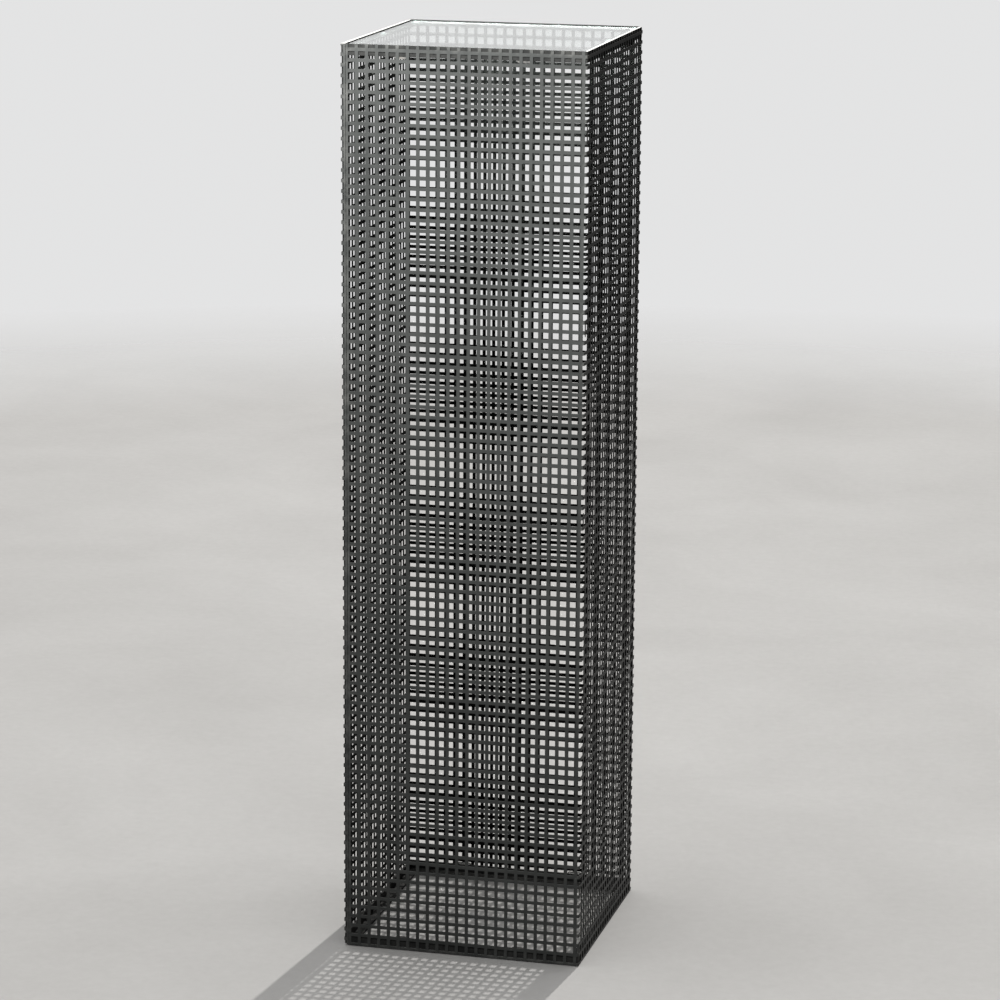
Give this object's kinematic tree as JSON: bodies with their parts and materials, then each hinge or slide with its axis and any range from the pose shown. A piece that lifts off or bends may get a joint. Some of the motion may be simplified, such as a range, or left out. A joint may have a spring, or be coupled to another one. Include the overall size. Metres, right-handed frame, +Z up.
{
  "type": "display plinth",
  "caption": "Tall square display plinth of black perforated steel sheet on mitred angle frames, open below, with a loose inset glass top for showing an object.",
  "frame": {"origin": "centre of the square footprint at floor level, on the underside of the floor pads", "axes": "+Z up along the column, front face with the seam towards -Y, +X to the right seen from the front"},
  "size_m": [0.288, 0.288, 1.076],
  "materials": {
    "sheet": "satin black on perforated steel sheet",
    "angle": "satin black on steel angle",
    "weld": "satin black over weld",
    "glass": "polished clear float glass",
    "bumper": "clear soft silicone",
    "pad": "matt black rubber"
  },
  "bodies": {
    "plinth": {"front_panel": "sheet", "right_panel": "sheet", "back_panel": "sheet", "left_panel": "sheet", "top_rail_front": "angle", "top_rail_right": "angle", "top_rail_back": "angle", "top_rail_left": "angle", "bottom_rail_front": "angle", "bottom_rail_right": "angle", "bottom_rail_back": "angle", "bottom_rail_left": "angle", "glass_bumpers": "bumper", "floor_pads": "pad", "top_frame_welds": "weld", "bottom_frame_welds": "weld", "seam_welds": "weld"},
    "glass": {"glass_top": "glass"}
  },
  "joints": [
    {"name": "glass_lift", "type": "slide", "parent": "plinth", "child": "glass", "axis": [0, 0, 1], "range_m": [0, 0.15]}
  ]
}
